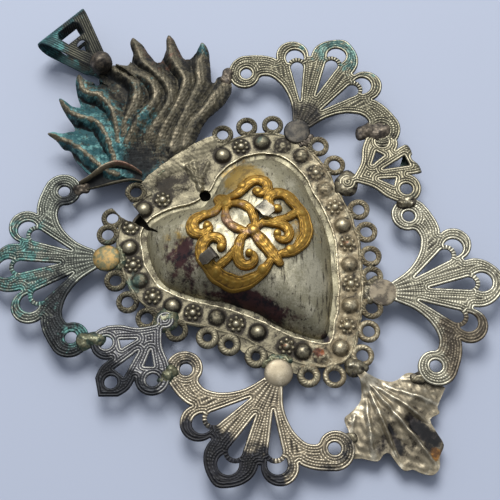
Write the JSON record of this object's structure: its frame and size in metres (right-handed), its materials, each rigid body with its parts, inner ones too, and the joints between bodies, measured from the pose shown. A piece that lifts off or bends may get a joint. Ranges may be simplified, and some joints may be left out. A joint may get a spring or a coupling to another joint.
{
  "type": "milagro charm",
  "caption": "Flat-backed sacred heart milagro: domed heart in a beaded openwork border, flame crown, soldered petal fans, leaf drop, gilt scroll ornament and bent strap bail.",
  "frame": {"origin": "middle of the heart on the rear face of the back pan, the plane it rests on", "axes": "+Z out of the heart's front, +Y along the heart from its point to the flames and bail, +X to the viewer's right"},
  "size_m": [0.096, 0.1295, 0.0129],
  "materials": {
    "silvered_sheet": "satin",
    "verdigris_sheet": "satin",
    "oxidised_sheet": "satin",
    "gilt_sheet": "satin",
    "dull_sheet": "matte",
    "solder": "satin"
  },
  "bodies": {
    "root": {"back_pan": "dull_sheet", "heart_dome": "silvered_sheet", "heart_border": "silvered_sheet", "flame_crown": "verdigris_sheet", "bail": "verdigris_sheet", "fan_upper_right": "verdigris_sheet", "fan_lower_right": "silvered_sheet", "fan_lower_left": "oxidised_sheet", "fan_upper_left": "verdigris_sheet", "small_fan_right": "silvered_sheet", "small_fan_left": "oxidised_sheet", "leaf": "silvered_sheet", "gilt_ornament": "gilt_sheet", "ornament_tab_right": "silvered_sheet", "ornament_tab_left": "silvered_sheet", "solder_fan_upper_right": "solder", "solder_fan_lower_right": "solder", "solder_fan_lower_left": "solder", "solder_fan_upper_left": "solder", "solder_small_fan_right": "solder", "solder_small_fan_left": "solder", "solder_leaf_stem": "solder", "solder_crown_seam": "solder", "solder_bail_ball": "solder", "solder_link_crown_right": "solder", "solder_link_upper_right": "solder", "solder_link_right": "solder", "solder_link_leaf_right": "solder", "solder_link_leaf_left": "solder", "solder_link_lower_left": "solder", "solder_link_left": "solder", "solder_link_crown_left": "solder"}
  },
  "joints": []
}
